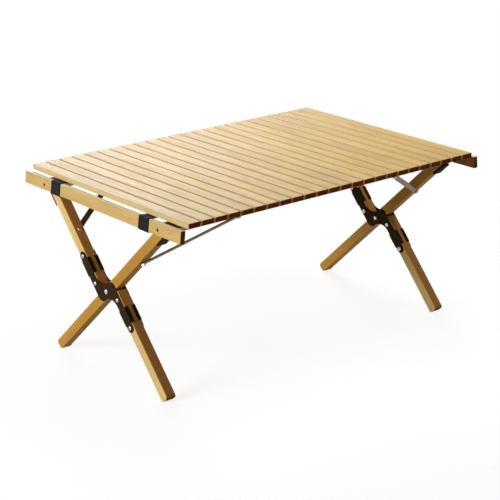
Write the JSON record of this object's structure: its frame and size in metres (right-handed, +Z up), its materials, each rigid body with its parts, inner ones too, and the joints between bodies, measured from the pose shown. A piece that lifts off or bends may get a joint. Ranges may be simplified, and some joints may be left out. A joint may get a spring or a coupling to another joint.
{
  "type": "roll top camp table",
  "caption": "Low folding camp table: a roll-up top of wooden slats on webbing, end rails, and crossed leg frames that fold about S-shaped steel pivot plates.",
  "frame": {"origin": "centre of the bounding box, on the floor under the feet", "axes": "+X along the table from the near end rail to the far one, +Y across it, +Z up"},
  "size_m": [0.9218, 0.6, 0.4385],
  "materials": {
    "top_wood": "oiled, fine grain",
    "leg_wood": "oiled, fine grain",
    "pin_wood": "dark stained",
    "black_steel": "satin",
    "grey_steel": "satin",
    "bright_steel": "polished",
    "webbing": "woven"
  },
  "bodies": {
    "near_rail": {"near_end_rail": "top_wood", "near_rail_pins": "pin_wood", "near_strap_loops": "webbing", "webbing_left": "webbing", "webbing_right": "webbing"},
    "slat_01": {"slat_01": "top_wood"},
    "slat_02": {"slat_02": "top_wood"},
    "slat_03": {"slat_03": "top_wood"},
    "slat_04": {"slat_04": "top_wood"},
    "slat_05": {"slat_05": "top_wood"},
    "slat_06": {"slat_06": "top_wood"},
    "slat_07": {"slat_07": "top_wood"},
    "slat_08": {"slat_08": "top_wood"},
    "slat_09": {"slat_09": "top_wood"},
    "slat_10": {"slat_10": "top_wood"},
    "slat_11": {"slat_11": "top_wood"},
    "slat_12": {"slat_12": "top_wood"},
    "slat_13": {"slat_13": "top_wood"},
    "slat_14": {"slat_14": "top_wood"},
    "slat_15": {"slat_15": "top_wood"},
    "slat_16": {"slat_16": "top_wood"},
    "slat_17": {"slat_17": "top_wood"},
    "slat_18": {"slat_18": "top_wood"},
    "slat_19": {"slat_19": "top_wood"},
    "slat_20": {"slat_20": "top_wood"},
    "slat_21": {"slat_21": "top_wood"},
    "slat_22": {"slat_22": "top_wood"},
    "slat_23": {"slat_23": "top_wood"},
    "slat_24": {"slat_24": "top_wood"},
    "far_rail": {"far_end_rail": "top_wood", "far_rail_pins": "pin_wood", "far_strap_loops": "webbing"},
    "pivots": {"pivot_bolts": "bright_steel", "pivot_washers": "bright_steel"},
    "frame_right": {"near_through_leg": "leg_wood", "far_through_leg": "leg_wood", "right_bearer": "leg_wood", "near_right_stay": "grey_steel", "far_right_stay": "grey_steel", "right_leg_tabs": "webbing", "right_stay_bolts": "bright_steel", "right_bearer_bolts": "bright_steel"},
    "frame_left": {"near_upper_leg": "leg_wood", "far_upper_leg": "leg_wood", "near_lower_leg": "leg_wood", "far_lower_leg": "leg_wood", "left_bearer": "leg_wood", "near_outer_plate": "black_steel", "near_inner_plate": "black_steel", "far_outer_plate": "black_steel", "far_inner_plate": "black_steel", "near_left_stay": "grey_steel", "far_left_stay": "grey_steel", "left_leg_tabs": "webbing", "plate_bolts": "bright_steel", "left_stay_bolts": "bright_steel", "left_bearer_bolts": "bright_steel"}
  },
  "joints": [
    {"name": "roll_01", "type": "hinge", "parent": "near_rail", "child": "slat_01", "pos_m": [-0.43975, 0, 0.4255], "axis": [0, -1, 0], "range_deg": [0, 15], "deforming": ["webbing_left", "webbing_right"]},
    {"name": "roll_02", "type": "hinge", "parent": "slat_01", "child": "slat_02", "pos_m": [-0.4015, 0, 0.4255], "axis": [0, -1, 0], "range_deg": [0, 15.15], "deforming": ["webbing_left", "webbing_right"]},
    {"name": "roll_03", "type": "hinge", "parent": "slat_02", "child": "slat_03", "pos_m": [-0.365, 0, 0.4255], "axis": [0, -1, 0], "range_deg": [0, 15.3], "deforming": ["webbing_left", "webbing_right"]},
    {"name": "roll_04", "type": "hinge", "parent": "slat_03", "child": "slat_04", "pos_m": [-0.3285, 0, 0.4255], "axis": [0, -1, 0], "range_deg": [0, 15.46], "deforming": ["webbing_left", "webbing_right"]},
    {"name": "roll_05", "type": "hinge", "parent": "slat_04", "child": "slat_05", "pos_m": [-0.292, 0, 0.4255], "axis": [0, -1, 0], "range_deg": [0, 15.61], "deforming": ["webbing_left", "webbing_right"]},
    {"name": "roll_06", "type": "hinge", "parent": "slat_05", "child": "slat_06", "pos_m": [-0.2555, 0, 0.4255], "axis": [0, -1, 0], "range_deg": [0, 15.76], "deforming": ["webbing_left", "webbing_right"]},
    {"name": "roll_07", "type": "hinge", "parent": "slat_06", "child": "slat_07", "pos_m": [-0.219, 0, 0.4255], "axis": [0, -1, 0], "range_deg": [0, 15.91], "deforming": ["webbing_left", "webbing_right"]},
    {"name": "roll_08", "type": "hinge", "parent": "slat_07", "child": "slat_08", "pos_m": [-0.1825, 0, 0.4255], "axis": [0, -1, 0], "range_deg": [0, 16.07], "deforming": ["webbing_left", "webbing_right"]},
    {"name": "roll_09", "type": "hinge", "parent": "slat_08", "child": "slat_09", "pos_m": [-0.146, 0, 0.4255], "axis": [0, -1, 0], "range_deg": [0, 16.22], "deforming": ["webbing_left", "webbing_right"]},
    {"name": "roll_10", "type": "hinge", "parent": "slat_09", "child": "slat_10", "pos_m": [-0.1095, 0, 0.4255], "axis": [0, -1, 0], "range_deg": [0, 16.37], "deforming": ["webbing_left", "webbing_right"]},
    {"name": "roll_11", "type": "hinge", "parent": "slat_10", "child": "slat_11", "pos_m": [-0.073, 0, 0.4255], "axis": [0, -1, 0], "range_deg": [0, 16.52], "deforming": ["webbing_left", "webbing_right"]},
    {"name": "roll_12", "type": "hinge", "parent": "slat_11", "child": "slat_12", "pos_m": [-0.0365, 0, 0.4255], "axis": [0, -1, 0], "range_deg": [0, 16.67], "deforming": ["webbing_left", "webbing_right"]},
    {"name": "roll_13", "type": "hinge", "parent": "slat_12", "child": "slat_13", "pos_m": [0, 0, 0.4255], "axis": [0, -1, 0], "range_deg": [0, 16.83], "deforming": ["webbing_left", "webbing_right"]},
    {"name": "roll_14", "type": "hinge", "parent": "slat_13", "child": "slat_14", "pos_m": [0.0365, 0, 0.4255], "axis": [0, -1, 0], "range_deg": [0, 16.98], "deforming": ["webbing_left", "webbing_right"]},
    {"name": "roll_15", "type": "hinge", "parent": "slat_14", "child": "slat_15", "pos_m": [0.073, 0, 0.4255], "axis": [0, -1, 0], "range_deg": [0, 17.13], "deforming": ["webbing_left", "webbing_right"]},
    {"name": "roll_16", "type": "hinge", "parent": "slat_15", "child": "slat_16", "pos_m": [0.1095, 0, 0.4255], "axis": [0, -1, 0], "range_deg": [0, 17.28], "deforming": ["webbing_left", "webbing_right"]},
    {"name": "roll_17", "type": "hinge", "parent": "slat_16", "child": "slat_17", "pos_m": [0.146, 0, 0.4255], "axis": [0, -1, 0], "range_deg": [0, 17.43], "deforming": ["webbing_left", "webbing_right"]},
    {"name": "roll_18", "type": "hinge", "parent": "slat_17", "child": "slat_18", "pos_m": [0.1825, 0, 0.4255], "axis": [0, -1, 0], "range_deg": [0, 17.59], "deforming": ["webbing_left", "webbing_right"]},
    {"name": "roll_19", "type": "hinge", "parent": "slat_18", "child": "slat_19", "pos_m": [0.219, 0, 0.4255], "axis": [0, -1, 0], "range_deg": [0, 17.74], "deforming": ["webbing_left", "webbing_right"]},
    {"name": "roll_20", "type": "hinge", "parent": "slat_19", "child": "slat_20", "pos_m": [0.2555, 0, 0.4255], "axis": [0, -1, 0], "range_deg": [0, 17.89], "deforming": ["webbing_left", "webbing_right"]},
    {"name": "roll_21", "type": "hinge", "parent": "slat_20", "child": "slat_21", "pos_m": [0.292, 0, 0.4255], "axis": [0, -1, 0], "range_deg": [0, 18.04], "deforming": ["webbing_left", "webbing_right"]},
    {"name": "roll_22", "type": "hinge", "parent": "slat_21", "child": "slat_22", "pos_m": [0.3285, 0, 0.4255], "axis": [0, -1, 0], "range_deg": [0, 18.2], "deforming": ["webbing_left", "webbing_right"]},
    {"name": "roll_23", "type": "hinge", "parent": "slat_22", "child": "slat_23", "pos_m": [0.365, 0, 0.4255], "axis": [0, -1, 0], "range_deg": [0, 18.35], "deforming": ["webbing_left", "webbing_right"]},
    {"name": "roll_24", "type": "hinge", "parent": "slat_23", "child": "slat_24", "pos_m": [0.4015, 0, 0.4255], "axis": [0, -1, 0], "range_deg": [0, 18.5], "deforming": ["webbing_left", "webbing_right"]},
    {"name": "roll_far_rail", "type": "hinge", "parent": "slat_24", "child": "far_rail", "pos_m": [0.43975, 0, 0.4255], "axis": [0, -1, 0], "range_deg": [0, 92], "deforming": ["webbing_left", "webbing_right"]},
    {"name": "frame_drop", "type": "slide", "parent": "near_rail", "child": "pivots", "axis": [0, 0, -1], "range_m": [0, 0.19252]},
    {"name": "frame_fold", "type": "hinge", "parent": "pivots", "child": "frame_right", "pos_m": [0, 0, 0.203], "axis": [-1, 0, 0], "range_deg": [0, 45]},
    {"name": "split_leg_fold", "type": "hinge", "parent": "pivots", "child": "frame_left", "pos_m": [0, 0, 0.203], "axis": [1, 0, 0], "range_deg": [0, 40.1]}
  ],
  "couplings": [
    {"joint": "frame_drop", "follows": "frame_fold", "m_per_rad": 0.245},
    {"joint": "split_leg_fold", "follows": "frame_fold", "ratio": 0.891}
  ]
}
